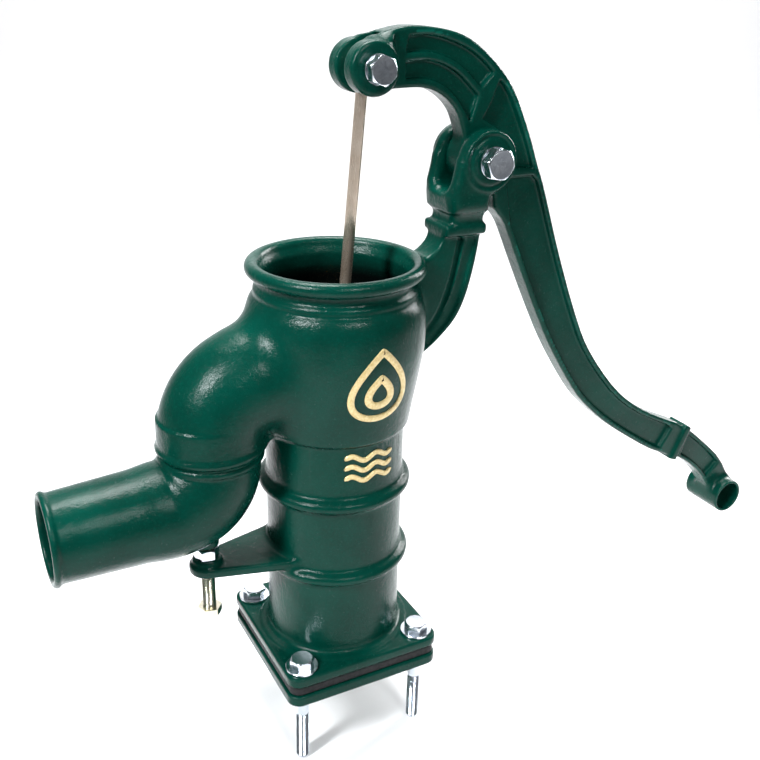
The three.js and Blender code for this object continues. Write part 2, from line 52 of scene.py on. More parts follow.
# Sizes that more than one piece shares, in millimetres.
GAP = 0.3
FLANGE_SIDE = 150
FLANGE_CORNER = 12
M12_RADIUS = 6
M12_FLATS = 19
M12_PITCH = 1.75

# ---- Camera, at the photograph's angle ----

AZIMUTH = math.radians(-28.62)
ELEVATION = math.radians(23.50)
ROLL = math.radians(1.61)
CAMERA_PLACE = Vector((-0.32904, -0.68458, 0.60685))


def add_camera():
    """Camera that looks along the azimuth and elevation, turned by a slight roll."""
    back = Vector((
        math.sin(AZIMUTH) * math.cos(ELEVATION),
        -math.cos(AZIMUTH) * math.cos(ELEVATION),
        math.sin(ELEVATION),
    ))
    level_right = Vector((math.cos(AZIMUTH), math.sin(AZIMUTH), 0))
    level_up = back.cross(level_right)
    right = math.cos(ROLL) * level_right + math.sin(ROLL) * level_up
    up = back.cross(right)
    data = bpy.data.cameras.new("camera")
    data.sensor_width = 36
    data.lens = 45.263
    data.clip_start = 0.02
    camera = bpy.data.objects.new("camera", data)
    bpy.context.scene.collection.objects.link(camera)
    camera.matrix_world = Matrix.Translation(CAMERA_PLACE) @ Matrix((right, up, back)).transposed().to_4x4()
    bpy.context.scene.camera = camera


add_camera()

# ---- Places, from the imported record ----

JOINTS = {joint["name"]: joint for joint in frame["joints"]}


def pivot(name):
    """X and Z of a joint, in millimetres."""
    x, _, z = JOINTS[name]["pos_m"]
    return x / MM, z / MM


def span(node):
    """Lowest and highest corners of a CAD node, in millimetres."""
    low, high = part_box(node)
    return np.array(low) / MM, np.array(high) / MM


FULCRUM = pivot("handle_swing")
CLEVIS = pivot("rod_swing")
OUTLET_AXIS = pivot("spout_swivel")[0]
GASKET_LOW, GASKET_HIGH = span("flange_gasket")
CASTING_NODES = (
    "pump_body", "upper_barrel", "foot_flange", "pump_bowl", "outlet_neck", "handle_post", "spout_lug",
)
BODY_LOW = np.min([span(name)[0] for name in CASTING_NODES], axis=0)
BODY_HIGH = np.max([span(name)[1] for name in CASTING_NODES], axis=0)
SET_BOLT_LOW, SET_BOLT_HIGH = span("spout_set_bolt")
SET_BOLT_X = (SET_BOLT_LOW[0] + SET_BOLT_HIGH[0]) / 2
BOLT_CENTRES = [
    tuple((np.add(*span(f"flange_bolt_{i}")) / 2)[:2]) for i in range(1, 5)
]

# ---- Distance fields for the castings ----


class Grid:
    """Sample points of a box, as three axes that broadcast against each other."""

    def __init__(self, low, high, step):
        step = step * 1
        axes = [np.arange(a - 2 * step, b + 3 * step, step, dtype=np.float32) for a, b in zip(low, high)]
        self.low = np.array([axis[0] for axis in axes])
        self.step = step
        self.x = axes[0][:, None, None]
        self.y = axes[1][None, :, None]
        self.z = axes[2][None, None, :]


def merge(a, b, fillet=0.1):
    """Union with a fillet."""
    h = np.maximum(fillet - np.abs(a - b), 0) / fillet
    return np.minimum(a, b) - h * h * fillet / 4


def cut(a, b, fillet=0.1):
    """a with b taken away, its new edges rounded."""
    return -merge(-a, b, fillet)


def circle(u, v, centre, radius):
    return np.sqrt((u - centre[0]) ** 2 + (v - centre[1]) ** 2) - radius


def polygon(u, v, points):
    """Signed distance to a closed outline, negative inside."""
    nearest = np.float32(1e9)
    side = np.float32(1)
    for (ax, ay), (bx, by) in zip(points, points[-1:] + points[:-1]):
        ex, ey = bx - ax, by - ay
        wx, wy = u - ax, v - ay
        t = np.clip((wx * ex + wy * ey) / (ex * ex + ey * ey), 0, 1)
        nearest = np.minimum(nearest, (wx - ex * t) ** 2 + (wy - ey * t) ** 2)
        above, below, left = v >= ay, v < by, ex * wy > ey * wx
        side = np.where((above & below & left) | ~(above | below | left), -side, side)
    return side * np.sqrt(nearest)


def slab(outline, w, half, rounding=0.5, middle=0):
    """An outline given thickness 2 * half along w, with rounded edges."""
    a = outline + rounding
    b = np.abs(w - middle) - half + rounding
    inside = np.minimum(np.maximum(a, b), 0)
    return inside + np.sqrt(np.maximum(a, 0) ** 2 + np.maximum(b, 0) ** 2) - rounding


def upright(grid, x, radius, half, rounding=0.5, middle=0):
    """Upright round bar on the XZ plane, 2 * half high."""
    return slab(circle(grid.x, grid.y, (x, 0), radius), grid.z, half, rounding, middle)


def rounded_box(u, v, low, high, rounding):
    """Rectangle with rounded corners, as a distance."""
    du = np.abs(u - (low[0] + high[0]) / 2) - (high[0] - low[0]) / 2 + rounding
    dv = np.abs(v - (low[1] + high[1]) / 2) - (high[1] - low[1]) / 2 + rounding
    return np.minimum(np.maximum(du, dv), 0) + np.hypot(np.maximum(du, 0), np.maximum(dv, 0)) - rounding


def groove(u, v, path, radius):
    """Distance to a thick line through points."""
    nearest = np.float32(1e9)
    for (ax, ay), (bx, by) in zip(path, path[1:]):
        ex, ey = bx - ax, by - ay
        t = np.clip(((u - ax) * ex + (v - ay) * ey) / (ex * ex + ey * ey), 0, 1)
        nearest = np.minimum(nearest, (u - ax - ex * t) ** 2 + (v - ay - ey * t) ** 2)
    return np.sqrt(nearest) - radius


def revolved(grid, profile, axis=(0, 0)):
    """Turns a distance in radius and height about a vertical axis."""
    step = 0.5
    radius = np.hypot(grid.x - axis[0], grid.y - axis[1])[:, :, 0] / step
    table = profile(np.arange(int(radius.max()) + 3, dtype=np.float32)[:, None] * step, grid.z[0])
    index = radius.astype(int)
    share = (radius - index)[:, :, None]
    return table[index] * (1 - share) + table[index + 1] * share


def bend(grid, centre, radius, start, end, tube):
    """Tube round part of a circle in the XZ plane. tube(t) is its radius, from t = 0 to 1."""
    dx, dz = grid.x - centre[0], grid.z - centre[1]
    t = np.clip((np.arctan2(dz, dx) % (2 * math.pi) - start) / (end - start), 0, 1)
    phi = start + (end - start) * t
    px, pz = centre[0] + radius * np.cos(phi), centre[1] + radius * np.sin(phi)
    return np.sqrt((grid.x - px) ** 2 + grid.y**2 + (grid.z - pz) ** 2) - tube(t)


def straight(grid, a, b, tube):
    """Round bar from a to b in the XZ plane, with a radius from tube(t)."""
    ex, ez = b[0] - a[0], b[1] - a[1]
    t = np.clip(((grid.x - a[0]) * ex + (grid.z - a[1]) * ez) / (ex * ex + ez * ez), 0, 1)
    px, pz = a[0] + ex * t, a[1] + ez * t
    return np.sqrt((grid.x - px) ** 2 + grid.y**2 + (grid.z - pz) ** 2) - tube(t)


# ---- From a distance field to a mesh ----


def sample(field, points):
    """Value of the field between its grid points."""
    base = np.clip(points.astype(int), 0, np.array(field.shape) - 2)
    part = points - base
    total = np.zeros(len(points))
    for corner in np.ndindex(2, 2, 2):
        weight = np.prod(np.where(corner, part, 1 - part), axis=1)
        total += weight * field[tuple((base + corner).T)]
    return total


def surface_net(field):
    """Vertices, in grid steps, and quads of the surface where the field is zero."""
    inside = field < 0
    counts = sum(inside[tuple(slice(c, c + n - 1) for c, n in zip(corner, field.shape))].astype(np.uint8)
                 for corner in np.ndindex(2, 2, 2))
    cells = np.argwhere((counts > 0) & (counts < 8))
    number = np.full(counts.shape, -1, np.int32)
    number[tuple(cells.T)] = np.arange(len(cells))
    total = np.zeros((len(cells), 3))
    crossings = np.zeros(len(cells))
    for axis in range(3):
        for corner in np.ndindex(2, 2, 2):
            if corner[axis]:
                continue
            first = cells + corner
            second = first.copy()
            second[:, axis] += 1
            a, b = field[tuple(first.T)], field[tuple(second.T)]
            crosses = (a < 0) != (b < 0)
            place = first[crosses].astype(float)
            place[:, axis] += a[crosses] / (a[crosses] - b[crosses])
            total[crosses] += place
            crossings += crosses
    points = total / crossings[:, None]
    quads = []
    for axis in range(3):
        first = np.moveaxis(inside, axis, 0)[:-1]
        second = np.moveaxis(inside, axis, 0)[1:]
        edges = np.argwhere(first != second)
        edges = edges[(edges[:, 1] > 0) & (edges[:, 2] > 0)]
        edges = edges[(edges[:, 1] < first.shape[1] - 1) & (edges[:, 2] < first.shape[2] - 1)]
        numbers = np.moveaxis(number, axis, 0)
        ring = [numbers[tuple((edges - step).T)] for step in ((0, 0, 0), (0, 1, 0), (0, 1, 1), (0, 0, 1))]
        quad = np.stack(ring, axis=1)
        outward = first[tuple(edges.T)] != (axis == 1)
        quad[~outward] = quad[~outward][:, ::-1]
        quads.append(quad)
    return points, np.concatenate(quads)


def field_mesh(name, grid, field, faces=0):
    """Mesh of the zero surface, pulled exactly onto it, thinned to a number of triangles if it has more."""
    points, quads = surface_net(field)
    for _ in range(3):
        value = sample(field, points)
        slope = np.stack([
            sample(field, points + 0.5 * unit) - sample(field, points - 0.5 * unit) for unit in np.eye(3)
        ], axis=1)
        steepness = np.maximum((slope**2).sum(axis=1), 0.25)
        points -= np.clip(value / steepness, -0.5, 0.5)[:, None] * slope
    piece = mesh_piece(name, ((points * grid.step + grid.low) * MM).tolist(), quads.tolist())
    if faces and 2 * len(quads) > faces:
        thin = piece.modifiers.new("thin", "DECIMATE")
        thin.ratio = faces / (2 * len(quads))
        apply_modifiers(piece)
    smooth(piece, 60)
    return piece


def store_painted_shade_depth(piece, depth):
    """Stores how far inside a casting each vertex lies, from 0 at the opening to 1, for the painted shade that
    its material lays inside.
    """
    data = piece.data
    places = np.empty(3 * len(data.vertices))
    data.vertices.foreach_get("co", places)
    values = depth(*(places.reshape(-1, 3) / MM).T)
    data.attributes.new("inner_wall", "FLOAT", "POINT").data.foreach_set("value", values.astype(np.float32))
    return piece


# ---- Meshes of turned and swept pieces ----


def link(name, data):
    piece = bpy.data.objects.new(name, data)
    bpy.context.scene.collection.objects.link(piece)
    return piece


def mesh_piece(name, vertices, faces):
    data = bpy.data.meshes.new(name)
    data.from_pydata(vertices, [], faces)
    return link(name, data)


def apply_modifiers(piece):
    graph = bpy.context.evaluated_depsgraph_get()
    data = bpy.data.meshes.new_from_object(piece.evaluated_get(graph))
    piece.modifiers.clear()
    old = piece.data
    piece.data = data
    bpy.data.meshes.remove(old)


def smooth(piece, degrees):
    """Smooth shading, with edges sharper than an angle kept crisp."""
    piece.data.shade_smooth()
    piece.data.set_sharp_from_angle(angle=math.radians(degrees))


UPRIGHT = Matrix.Identity(3)
FACING_FRONT = Matrix(((1, 0, 0), (0, 0, -1), (0, 1, 0)))


def turned(name, rows, place, facing=UPRIGHT, sides=64, capped=True):
    """Piece round an axis, from rows of (height, radius). A radius may be a function of angle and height.

    With capped the two ends are filled; without it the last row joins the first, as in a ring.
    """
    angles = [2 * math.pi * i / sides for i in range(sides)]
    vertices = []
    for height, radius in rows:
        for angle in angles:
            r = radius(angle, height) if callable(radius) else radius
            vertices.append(Vector((r * math.cos(angle), r * math.sin(angle), height)))
    faces = []
    count = len(rows) if not capped else len(rows) - 1
    for row in range(count):
        low, high = row * sides, (row + 1) % len(rows) * sides
        for i in range(sides):
            j = (i + 1) % sides
            faces.append((low + i, low + j, high + j, high + i))
    if capped:
        faces.append(tuple(range(sides))[::-1])
        faces.append(tuple(range((len(rows) - 1) * sides, len(rows) * sides)))
    piece = mesh_piece(name, [(facing @ v + Vector(place)) * MM for v in vertices], faces)
    smooth(piece, 28)
    return piece


def ring(name, inner, outer, bottom, top, ease, place=(0, 0, 0), facing=UPRIGHT, sides=64):
    """Flat ring whose outer edges are eased."""
    rows = [
        (bottom, inner), (bottom, outer - ease), (bottom + ease, outer),
        (top - ease, outer), (top, outer - ease), (top, inner),
    ]
    return turned(name, rows, place, facing, sides, capped=False)


def join(name, pieces):
    """Several meshes as one object."""
    whole = pieces[0]
    with bpy.context.temp_override(active_object=whole, selected_editable_objects=pieces):
        bpy.ops.object.join()
    whole.name = name
    return whole


def hexagon(flats):
    """Radius of a hexagon at an angle, its corners eased."""
    def radius(angle, _):
        turn = (angle + math.pi / 6) % (math.pi / 3) - math.pi / 6
        return min(flats / 2 / math.cos(turn), flats / math.sqrt(3) * 0.992)
    return radius


def chamfered(flats, edge):
    """Hexagon cut by the cone that chamfers its corners. edge(height) is the cone's radius."""
    shape = hexagon(flats)
    return lambda angle, height: min(shape(angle, height), edge(height))


def hex_rows(flats, bottom, top, both_ends=False):
    """Rows of a hexagon head or nut from bottom to top, chamfered on top, or at both ends."""
    corner = flats / math.sqrt(3)
    depth = 0.14 * flats / 2

    def cone(height):
        room = top - height
        if both_ends:
            room = min(room, height - bottom)
        return flats / 2 * 0.96 + (corner - flats / 2 * 0.96) * min(room / depth, 1) * 1.001

    shape = chamfered(flats, cone)
    steps = [depth * i / 4 for i in range(5)]
    rows = [(bottom + (s if both_ends else 0), shape) for s in (steps if both_ends else [0])]
    rows += [(top - s, shape) for s in reversed(steps)]
    return rows


def thread(radius, pitch):
    """Radius of a screw thread at an angle and height."""
    def shape(angle, height):
        phase = (height / pitch - angle / (2 * math.pi)) % 1
        return radius - 0.6 * pitch * abs(2 * phase - 1) ** 1.2 * 0.9
    return shape


def thread_rows(radius, pitch, bottom, top):
    """Rows of a threaded length, eased in at both ends."""
    shape = thread(radius, pitch)
    count = int((top - bottom) / pitch * (7))

    def eased(angle, height):
        ease = min((height - bottom) / pitch, (top - height) / pitch, 1)
        return radius - 0.6 * pitch + (shape(angle, height) - radius + 0.6 * pitch) * ease

    return [(bottom + (top - bottom) * i / count, eased) for i in range(count + 1)]


# ---- Materials ----


class Nodes:
    """Short way to add and join shader nodes."""

    def __init__(self, name):
        self.material = bpy.data.materials.new(name)
        self.material.use_nodes = True
        self.tree = self.material.node_tree
        self.shader = self.tree.nodes["Principled BSDF"]
        self.coordinates = self.add("TexCoord").outputs["Object"]

    def add(self, kind):
        return self.tree.nodes.new(f"ShaderNode{kind}")

    def wire(self, source, socket):
        self.tree.links.new(source, socket)

    def value(self, **sockets):
        for name, number in sockets.items():
            self.shader.inputs[name.replace("_", " ")].default_value = number

    def stretched(self, scale):
        mapping = self.add("Mapping")
        mapping.inputs["Scale"].default_value = scale
        self.wire(self.coordinates, mapping.inputs["Vector"])
        return mapping.outputs["Vector"]

    def noise(self, size_mm, detail=4, roughness=0.55, vector=None):
        node = self.add("TexNoise")
        node.inputs["Scale"].default_value = 1 / (size_mm * MM)
        node.inputs["Detail"].default_value = detail
        node.inputs["Roughness"].default_value = roughness
        self.wire(vector or self.coordinates, node.inputs["Vector"])
        return node.outputs["Fac"]

    def attribute(self, name):
        node = self.add("Attribute")
        node.attribute_name = name
        return node.outputs["Fac"]

    def grains(self, size_mm):
        node = self.add("TexVoronoi")
        node.inputs["Scale"].default_value = 1 / (size_mm * MM)
        self.wire(self.coordinates, node.inputs["Vector"])
        return node.outputs["Distance"]

    def ramp(self, source, stops):
        node = self.add("ValToRGB")
        elements = node.color_ramp.elements
        while len(elements) < len(stops):
            elements.new(0.5)
        for element, (position, colour) in zip(elements, stops):
            element.position = position
            element.color = (*colour, 1)
        self.wire(source, node.inputs["Fac"])
        return node.outputs["Color"]

    def spread(self, source, low, high, from_low=0.3, from_high=0.7):
        node = self.add("MapRange")
        node.inputs["From Min"].default_value = from_low
        node.inputs["From Max"].default_value = from_high
        node.inputs["To Min"].default_value = low
        node.inputs["To Max"].default_value = high
        self.wire(source, node.inputs["Value"])
        return node.outputs["Result"]

    def mix(self, fraction, a, b):
        node = self.add("Mix")
        node.data_type = "RGBA"
        for source, socket in ((fraction, node.inputs[0]), (a, node.inputs[6]), (b, node.inputs[7])):
            if isinstance(source, (int, float)):
                socket.default_value = source
            elif isinstance(source, tuple):
                socket.default_value = (*source, 1)
            else:
                self.wire(source, socket)
        return node.outputs[2]

    def wear(self, low=0.52, high=0.6):
        """Ridges of the surface, from 0 to 1."""
        geometry = self.add("NewGeometry")
        return self.spread(geometry.outputs["Pointiness"], 0, 1, low, high)

    def bump(self, *layers):
        """Stacks bumps, each (height source, depth in millimetres)."""
        normal = None
        for source, depth in layers:
            node = self.add("Bump")
            node.inputs["Strength"].default_value = 1
            node.inputs["Distance"].default_value = depth * MM
            self.wire(source, node.inputs["Height"])
            if normal:
                self.wire(normal, node.inputs["Normal"])
            normal = node.outputs["Normal"]
        self.wire(normal, self.shader.inputs["Normal"])

    def drive(self, **sockets):
        for name, source in sockets.items():
            self.wire(source, self.shader.inputs[name.replace("_", " ")])


def enamel():
    """Deep green gloss enamel over a sand casting."""
    n = Nodes("green_enamel")
    base = n.ramp(n.noise(55, 3), [(0.3, (0.0, 0.026, 0.0175)), (0.7, (0.0, 0.041, 0.028))])
    base = n.mix(n.spread(n.noise(2.4, 4, 0.7), 0, 0.5, 0.5, 0.75), base, (0.0005, 0.058, 0.040))
    base = n.mix(n.wear(0.54, 0.66), base, (0.002, 0.082, 0.058))
    # Painted shade: deep inside the bore and the spout the green fades to near black, with depth from the
    # opening.
    inner_wall = n.attribute("inner_wall")
    base = n.mix(inner_wall, base, (0.0015, 0.003, 0.0028))
    n.drive(Base_Color=base, Roughness=n.spread(n.noise(3.5, 4, 0.65), 0.14, 0.29))
    n.value(Metallic=0.0, IOR=1.5, Specular_IOR_Level=0.15)
    n.bump((n.noise(22, 2), 0.6), (n.noise(4.2, 3), 0.28), (n.noise(1.25, 2, 0.6), 0.2))
    return n.material


def mottled(name, patches, dark, light, gloss, bumps, top=0.7, **values):
    """Two shades in patches of (size, detail), uneven gloss, and bumps of (size, detail, depth)."""
    n = Nodes(name)
    size, detail, low, high = gloss
    base = n.ramp(n.noise(*patches), [(0.3, dark), (top, light)])
    n.drive(Base_Color=base, Roughness=n.spread(n.noise(size, detail), low, high))
    n.value(**values)
    n.bump(*[(n.noise(size, detail), depth) for size, detail, depth in bumps])
    return n.material


def zinc(name, dark, light):
    """Bright plated steel with faint handling marks."""
    bumps = [(9, 2, 0.06), (0.6, 2, 0.004)]
    return mottled(name, (9, 4), dark, light, (3, 4, 0.14, 0.27), bumps, Metallic=1.0)


def rod_steel():
    """Drawn bar with fine lines along it, its colour a pale brown that paints in the reflection of its
    surroundings.
    """
    n = Nodes("rod_steel")
    lines = n.noise(0.5, 3, 0.6, n.stretched((1, 1, 0.02)))
    bands = n.noise(9, 4, 0.6, n.stretched((1, 1, 0.35)))
    # Painted reflection: the pale brown shades stand in for the surroundings that the bright rod reflects.
    # Their patches vary at random.
    base = n.ramp(bands, [(0.3, (0.42, 0.33, 0.25)), (0.7, (0.66, 0.56, 0.46))])
    n.drive(Base_Color=base, Roughness=n.spread(lines, 0.14, 0.3))
    n.value(Metallic=0.75, Anisotropic=0.4)
    n.bump((lines, 0.012), (n.noise(18, 2), 0.05))
    return n.material


def rubber():
    dark, light = (0.003, 0.003, 0.004), (0.012, 0.012, 0.013)
    bumps = [(6, 3, 0.1), (0.6, 3, 0.03)]
    return mottled("black_rubber", (8, 5), dark, light, (3, 5, 0.5, 0.8), bumps, 0.75, Specular_IOR_Level=0.35)


def leather():
    n = Nodes("pump_leather")
    base = n.ramp(n.noise(9, 6), [(0.3, (0.02, 0.011, 0.006)), (0.7, (0.06, 0.034, 0.018))])
    n.drive(Base_Color=base, Roughness=n.spread(n.noise(4, 5), 0.45, 0.75))
    n.bump((n.grains(1.4), 0.12), (n.noise(0.5, 3), 0.03))
    return n.material


def brass():
    dark, light = (0.10, 0.062, 0.025), (0.21, 0.145, 0.065)
    bumps = [(5, 3, 0.08), (0.7, 3, 0.02)]
    return mottled("cast_brass", (14, 6), dark, light, (3, 5, 0.24, 0.48), bumps, Metallic=1.0)


def cast_iron():
    dark, light = (0.035, 0.034, 0.033), (0.11, 0.105, 0.1)
    bumps = [(2.4, 4, 0.22), (0.8, 3, 0.05)]
    return mottled("cast_iron", (11, 6), dark, light, (3, 5, 0.45, 0.75), bumps, 0.72, Metallic=0.7)


def gold_paint():
    """Pale gold paint brushed on raised relief."""
    n = Nodes("gold_paint")
    strokes = n.noise(2.2, 4, 0.6)
    base = n.ramp(strokes, [(0.3, (0.58, 0.42, 0.16)), (0.7, (0.80, 0.66, 0.36))])
    n.drive(Base_Color=base, Roughness=n.spread(n.noise(1.2, 4), 0.3, 0.55))
    n.value(Metallic=0.35, Coat_Weight=0.2, Coat_Roughness=0.2)
    n.bump((strokes, 0.12), (n.noise(0.6, 2), 0.03))
    return n.material


FINISHES = {
    "enamel": enamel(),
    "zinc": zinc("bright_zinc", (0.66, 0.72, 0.79), (0.80, 0.85, 0.91)),
    "yellow_zinc": zinc("yellow_zinc", (0.70, 0.66, 0.52), (0.84, 0.81, 0.68)),
    "rod_steel": rod_steel(),
    "rubber": rubber(),
    "leather": leather(),
    "brass": brass(),
    "cast_iron": cast_iron(),
    "gold_paint": gold_paint(),
}


def fit(piece, finish, body, *nodes):
    """Gives a piece its finish and the body it rides on, in place of some CAD nodes."""
    piece.data.materials.clear()
    piece.data.materials.append(FINISHES[finish])
    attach(piece, body)
    if nodes:
        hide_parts(*nodes)
    return piece


# ---- Splines ----


def spline(points, count):
    """count + 1 points along a smooth line through some points."""
    p = np.array([points[0], *points, points[-1]], float)
    out = []
    for s in np.linspace(0, len(points) - 1, count + 1):
        i = min(int(s), len(points) - 2)
        t = s - i
        a, b, c, d = p[i:i + 4]
        out.append(tuple(
            b + 0.5 * t * (c - a + t * (2 * a - 5 * b + 4 * c - d + t * (3 * (b - c) + d - a)))
        ))
    return out


def offset(line, distance):
    """Line moved to the left of its direction of travel."""
    p = np.array(line)
    along = np.gradient(p, axis=0)
    along /= np.linalg.norm(along, axis=1)[:, None]
    return [tuple(q) for q in p + distance * np.stack([-along[:, 1], along[:, 0]], axis=1)]


# ---- Pump body ----

BARREL = 61
BORE = 52.5
BAND_HEIGHTS = (112, 185)
# Outside and inside of the bowl, as radius and height.
BOWL = [
    (65.4, 244), (68.2, 262), (72.3, 286), (75.7, 309), (76.6, 326),
    (75.8, 341), (72.6, 352), (67, 359), (65.4, 366),
]
LINING = [
    (BORE, 240), (56.5, 246), (60, 262), (64, 282), (68.5, 306),
    (70.3, 326), (69, 341), (64, 352), (60.3, 361),
]
RIM = (69.2, 379)
RIM_ROUND = 6.1
FLANGE_BOTTOM = GASKET_HIGH[2] + GAP
FLANGE_TOP = 30.3
OUTLET_BEND = (-67, 247)
OUTLET_ROUND = OUTLET_BEND[0] - OUTLET_AXIS
OUTLET_FOOT = 237


def body_profile(r, z):
    """Outside of the barrel, bowl and rim, in radius and height."""
    bowl = [(0, FLANGE_BOTTOM), (BARREL, FLANGE_BOTTOM), (BARREL, 239.5), (64.4, 242.5)]
    bowl += spline(BOWL, 30) + [(65.4, 380), (0, 380)]
    shape = polygon(r, z, bowl)
    shape = merge(shape, circle(r, z, RIM, RIM_ROUND), 5)
    shape = merge(shape, circle(r, z, (65.6, 360.5), 3.4), 2.5)
    for height in BAND_HEIGHTS:
        shape = merge(shape, circle(r, z, (62.6, height), 5.6), 5)
    foot = rounded_box(r, z, (-69, FLANGE_BOTTOM), (69, FLANGE_TOP + 1.3), 0.8)
    return merge(shape, foot, 7)


def bore_profile(r, z):
    """Inside of the barrel and bowl."""
    inner_wall = [(0, 0), (BORE, 0)] + spline(LINING, 24) + [(60.3, 372), (63.2, 379), (63.2, 400), (0, 400)]
    return polygon(r, z, inner_wall)


def outlet(grid):
    """Outside of the outlet, from inside the bowl round to its foot."""
    half_turn = (math.pi / 2, math.pi)
    tube = bend(grid, OUTLET_BEND, OUTLET_ROUND, *half_turn, lambda t: 45.6 - 1.1 * t)
    root = straight(grid, (-15, 289), (OUTLET_BEND[0], 293), lambda t: 49 - 3.4 * t)
    foot = upright(grid, OUTLET_AXIS, 44.5, 15, 1.5, OUTLET_FOOT + 15)
    bead = np.hypot(circle(grid.x, grid.y, (OUTLET_AXIS, 0), 43.6), grid.z - OUTLET_FOOT - 3.2) - 3
    return merge(merge(merge(tube, root, 8), foot, 1), bead, 2.5)


def outlet_passage(grid):
    half_turn = (math.pi / 2, math.pi)
    tube = bend(grid, OUTLET_BEND, OUTLET_ROUND, *half_turn, lambda t: 36.5)
    root = straight(grid, (-30, 293), (OUTLET_BEND[0], 293), lambda t: 36.5)
    foot = upright(grid, OUTLET_AXIS, 35, 10, 0.5, OUTLET_FOOT + 5)
    return merge(merge(tube, root, 4), foot, 2)


def post(grid):
    """Handle post: a slab with two flanges, a groove and a shallow panel on each side."""
    back = [(60, 284), (80, 292), (97, 304.5), (112, 320), (121, 338), (127, 360), (131, 382), (133, 400)]
    outer = spline(back, 24)
    inner = spline([(95.5, 402), (93, 391), (86, 383), (74, 376), (60, 370)], 12)
    slab_shape = slab(polygon(grid.x, grid.z, outer + inner), grid.y, 14, 3)
    depth = np.abs(grid.y)
    middle = spline([(72, 300), (93, 325), (104, 352), (110, 378), (112, 392)], 14)
    channel = np.maximum(groove(grid.x, grid.z, middle, 2.6), 9.5 - depth)
    panel_line = spline([(84, 304), (103, 326), (114, 352), (120, 378), (122.5, 390)], 14)
    panel = np.maximum(groove(grid.x, grid.z, panel_line, 4.6), 11.6 - depth)
    return cut(cut(slab_shape, channel, 2), panel, 2)


def fork(grid):
    """Band, neck, two ears and their raised rings, with the slot for the lever."""
    x, y, z = grid.x, grid.y, grid.z
    fx, fz = FULCRUM
    root = polygon(x, z, [
        (98, 418), (131, 418), (133, 430), (143, 437), (fx + 10, fz), (103, fz), (99, 448), (96.5, 438),
    ])
    ears = slab(merge(circle(x, z, FULCRUM, 26.5), root, 8), y, 26.3, 6)
    ring = np.hypot(circle(x, z, FULCRUM, 23.6), np.abs(y) - 25.6) - 1.9
    ears = merge(ears, ring, 1.5)
    ears = merge(ears, slab(circle(x, z, FULCRUM, 19.4), y, 28, 1.2), 1.5)
    neck = slab(polygon(x, z, [(96.5, 398), (133, 398), (131.5, 430), (98, 430), (101, 415)]), y, 19.5, 7)
    band = slab(rounded_box(x, z, (94, 396.6), (134.5, 406.2), 3), y, 20, 3)
    slot = slab(rounded_box(y, z, (-11.4, 434.5), (11.4, 560), 9), x, 50, 0.5, 125)
    shape = cut(merge(merge(ears, neck, 10), band, 3), slot, 7)
    return cut(shape, circle(x, z, FULCRUM, 8.3))


def lug(grid):
    """Flat lug on the barrel that carries the set bolt."""
    low, top = 117, 126
    lean = 0.26
    angles = np.linspace(-math.pi / 2 - lean, -1.5 * math.pi + lean, 20)
    tip = [(SET_BOLT_X + 16 * math.cos(a), 16 * math.sin(a)) for a in angles]
    outline = polygon(grid.x, grid.y, [(-40, -36), (-52, -34.5)] + tip + [(-52, 34.5), (-40, 36)])
    plate = slab(outline, grid.z, (top - low) / 2, 2.2, (top + low) / 2)
    boss = upright(grid, SET_BOLT_X, 13, 5, 1.4, top - 0.5)
    return merge(plate, boss, 3)


def flange_outline(grid, side, corner):
    return rounded_box(grid.x, grid.y, (-side / 2, -side / 2), (side / 2, side / 2), corner)


def drilled(shape, grid, radius=6.8):
    for x, y in BOLT_CENTRES:
        shape = cut(shape, circle(grid.x, grid.y, (x, y), radius), 0.5)
    return shape


def pump_body():
    grid = Grid(BODY_LOW, BODY_HIGH, 1.5)
    shell = revolved(grid, body_profile)
    outline = flange_outline(grid, FLANGE_SIDE, FLANGE_CORNER)
    flange = slab(outline, grid.z, (FLANGE_TOP - FLANGE_BOTTOM) / 2, 1.6, (FLANGE_TOP + FLANGE_BOTTOM) / 2)
    shell = merge(shell, drilled(flange, grid), 3)
    shell = merge(shell, outlet(grid), 15)
    shell = merge(shell, merge(post(grid), fork(grid), 3), 9)
    shell = merge(shell, lug(grid), 6)
    hollow = merge(revolved(grid, bore_profile), outlet_passage(grid), 5)
    shell = cut(shell, hollow, 3)
    set_hole = upright(grid, SET_BOLT_X, 6.3, 12, 0.5, 124)
    piece = field_mesh("pump_body_casting", grid, cut(shell, set_hole), 190000)

    # Depth for the painted shade in the bowl and barrel: none at the rim, full 26 mm below it.
    def depth(x, y, z):
        radii, heights = zip(*LINING)
        inside = np.hypot(x, y) < np.interp(z, heights, radii) + 3
        return inside * np.clip((378 - z) / 26, 0, 1)

    return store_painted_shade_depth(piece, depth)


fit(pump_body(), "enamel", "pump", *CASTING_NODES)

# ---- Base flange and gasket ----


def base_flange():
    low, high = span("base_flange")
    top = GASKET_LOW[2] - GAP
    grid = Grid(low, high, 1.2)
    outline = flange_outline(grid, FLANGE_SIDE, FLANGE_CORNER)
    plate = drilled(slab(outline, grid.z, top / 2, 1.8, top / 2), grid)
    socket = upright(grid, 0, 27, -low[2] / 2 + 2, 1.5, low[2] / 2 + 2)
    seat = upright(grid, 0, 25, 5, 0.8, top - 2)
    pin_x, pin_z = pivot("foot_clack_lift")
    cheek = rounded_box(grid.x, grid.z, (pin_x - 4, top - 2), (pin_x + 4, high[2]), 3.6)
    cheeks = slab(cheek, np.abs(grid.y), 2.5, 0.6, 10.5)
    shape = merge(merge(merge(plate, socket, 6), seat, 2), cheeks, 2)
    shape = cut(shape, upright(grid, 0, 20, 60), 1.5)
    shape = cut(shape, circle(grid.x, grid.z, (pin_x, pin_z), 2.3))
    return field_mesh("base_flange_casting", grid, shape, 120000)


